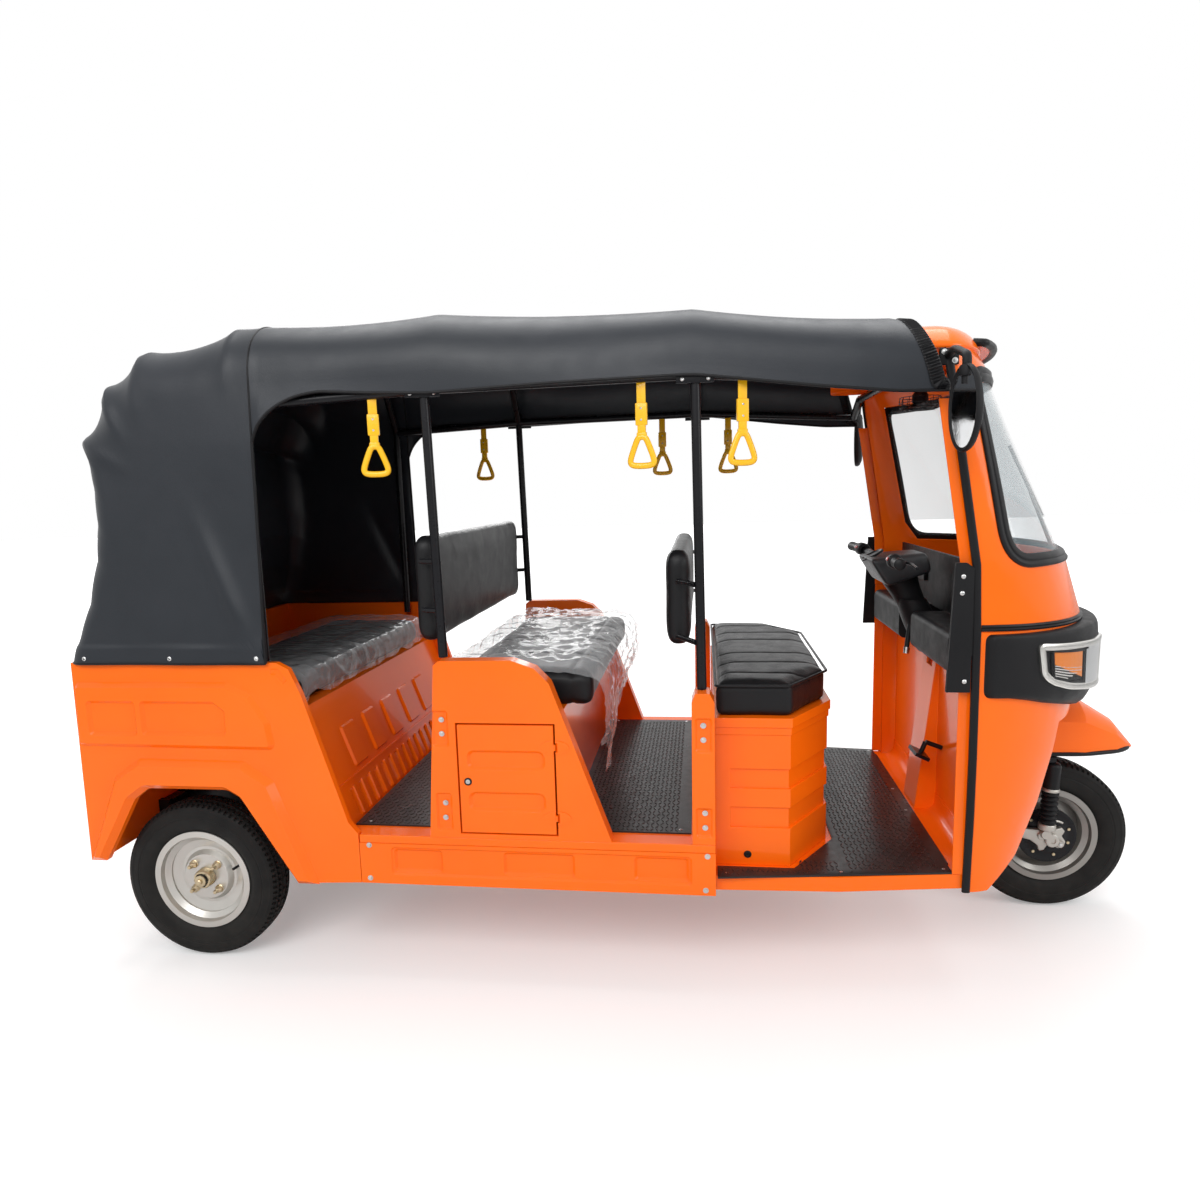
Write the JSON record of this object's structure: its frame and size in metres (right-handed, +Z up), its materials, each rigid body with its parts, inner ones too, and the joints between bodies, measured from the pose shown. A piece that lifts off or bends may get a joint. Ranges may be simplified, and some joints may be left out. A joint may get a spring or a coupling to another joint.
{
  "type": "auto rickshaw",
  "caption": "Three-row passenger auto rickshaw: open orange body on three wheels, vinyl canopy on bows, handlebar steering and two storage doors.",
  "frame": {"origin": "on the ground under the middle of the outline", "axes": "+X forward, +Y to the vehicle's left, +Z up"},
  "size_m": [3.49, 1.566, 2.0659],
  "materials": {
    "body_paint": "gloss",
    "black_paint": "satin",
    "black_plastic": "satin",
    "black_vinyl": "satin",
    "cast_alloy": "rough",
    "floor_rubber": "matte",
    "clear_glass": "gloss",
    "lamp_lens": "gloss",
    "tail_lens": "gloss",
    "canopy_vinyl": "satin",
    "yellow_plastic": "gloss",
    "wheel_steel": "satin",
    "tyre_rubber": "matte"
  },
  "bodies": {
    "body": {"chassis_frame": "black_paint", "rear_axle": "black_paint", "leaf_springs": "black_paint", "engine_block": "cast_alloy", "floor_pan": "body_paint", "floor_mats": "floor_rubber", "side_sills": "body_paint", "rear_side_panels": "body_paint", "tail_panel": "body_paint", "rear_seat_base": "body_paint", "rear_seat_cushion": "black_vinyl", "middle_side_panels": "body_paint", "middle_seat_base": "body_paint", "middle_seat_cushion": "black_vinyl", "backrest_pads": "black_vinyl", "b_pillars": "body_paint", "driver_seat_box": "body_paint", "driver_seat_cushion": "black_vinyl", "nose_upper": "body_paint", "nose_lower": "body_paint", "windscreen": "clear_glass", "cab_roof": "body_paint", "cab_inner_panel": "body_paint", "head_tube": "black_paint", "dashboard": "black_plastic", "edge_plates": "black_plastic", "headlamp_bezel": "black_plastic", "headlamps": "lamp_lens", "mirrors": "black_plastic", "brake_pedal": "black_paint", "tail_lamps": "tail_lens", "canopy_frame": "black_paint", "canopy": "canopy_vinyl", "grab_handles": "yellow_plastic", "cab_fan": "black_plastic", "wiper": "black_plastic"},
    "steering": {"steering_stem": "black_paint", "handlebar": "black_plastic", "swing_arm": "cast_alloy", "spring_damper": "black_paint", "front_mudguard": "body_paint"},
    "front_wheel": {"front_rim": "wheel_steel", "front_tyre": "tyre_rubber"},
    "rear_wheel_right": {"rear_right_rim": "wheel_steel", "rear_right_tyre": "tyre_rubber"},
    "rear_wheel_left": {"rear_left_rim": "wheel_steel", "rear_left_tyre": "tyre_rubber"},
    "storage_door_right": {"box_door_right": "body_paint"},
    "storage_door_left": {"box_door_left": "body_paint"}
  },
  "joints": [
    {"name": "steering_turn", "type": "hinge", "parent": "body", "child": "steering", "pos_m": [1.2379, 0, 0.6], "axis": [-0.4224, 0, 0.9064], "range_deg": [-40, 40]},
    {"name": "front_wheel_roll", "type": "hinge", "parent": "steering", "child": "front_wheel", "pos_m": [1.47, 0, 0.27], "axis": [0, 1, 0], "continuous": true},
    {"name": "rear_wheel_right_roll", "type": "hinge", "parent": "body", "child": "rear_wheel_right", "pos_m": [-1.41, -0.545, 0.27], "axis": [0, 1, 0], "continuous": true},
    {"name": "rear_wheel_left_roll", "type": "hinge", "parent": "body", "child": "rear_wheel_left", "pos_m": [-1.41, 0.545, 0.27], "axis": [0, 1, 0], "continuous": true},
    {"name": "storage_door_right_swing", "type": "hinge", "parent": "body", "child": "storage_door_right", "pos_m": [-0.1767, -0.664, 0.665], "axis": [0, 0, 1], "range_deg": [0, 110]},
    {"name": "storage_door_left_swing", "type": "hinge", "parent": "body", "child": "storage_door_left", "pos_m": [-0.1767, 0.664, 0.665], "axis": [0, 0, -1], "range_deg": [0, 110]}
  ]
}
